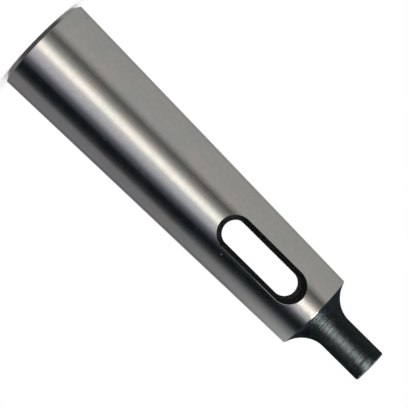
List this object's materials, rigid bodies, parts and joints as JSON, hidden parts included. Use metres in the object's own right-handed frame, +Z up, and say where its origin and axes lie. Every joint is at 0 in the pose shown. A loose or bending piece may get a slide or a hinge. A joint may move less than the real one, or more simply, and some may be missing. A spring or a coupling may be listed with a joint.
{
  "type": "morse taper sleeve",
  "caption": "Hardened steel reducing sleeve: tapered shank and flat driving tang outside, tapered tool socket inside, drift slot through both walls.",
  "frame": {"origin": "centre of the big end's face, where the sleeve stands", "axes": "+Z up the sleeve's axis to the tang, Y through the drift slot, X square to the tang's flats"},
  "size_m": [0.0324, 0.0324, 0.14],
  "materials": {
    "hardened_steel": "ground bright on the outer taper, black oxide on the tang, shoulder and drift slot"
  },
  "bodies": {
    "root": {"taper_sleeve": "hardened_steel"}
  },
  "joints": []
}
